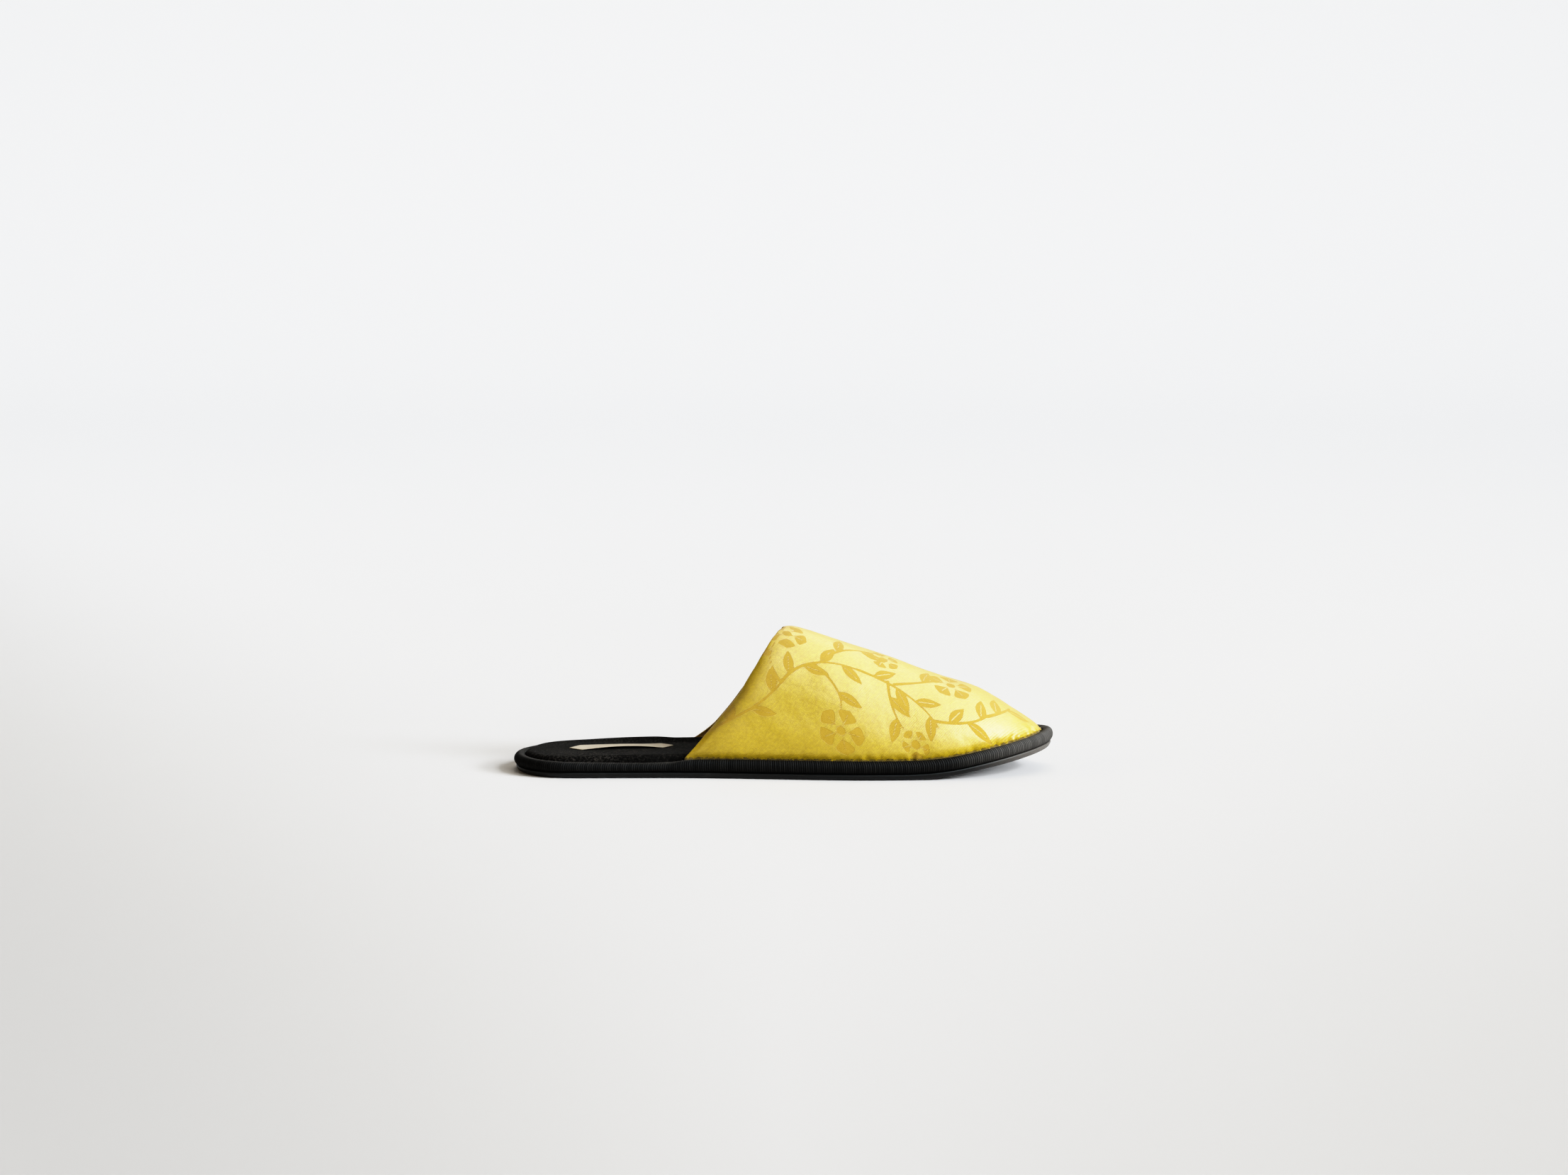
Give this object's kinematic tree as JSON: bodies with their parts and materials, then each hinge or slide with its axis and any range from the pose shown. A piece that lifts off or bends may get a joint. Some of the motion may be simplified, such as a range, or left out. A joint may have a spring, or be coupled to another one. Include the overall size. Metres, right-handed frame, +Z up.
{
  "type": "closed-toe slide",
  "caption": "Closed-toe slide for the right foot: padded satin upper with a slanted open collar, ribbed ribbon welt, padded insole with a bare woven label and a thin rubber outsole.",
  "frame": {"origin": "on the floor, under the middle of the shoe's box", "axes": "+X from the heel to the toe, +Y to the wearer's left, which is the medial side, +Z up"},
  "size_m": [0.265, 0.0872, 0.0711],
  "materials": {
    "satin": "woven satin with a tone-on-tone figure",
    "ribbon": "ribbed ribbon",
    "suede": "short matt nap",
    "rubber": "satin",
    "tape": "woven tape"
  },
  "bodies": {
    "root": {"outsole": "rubber", "welt": "ribbon", "insole": "suede", "upper": "satin", "label": "tape"}
  },
  "joints": []
}
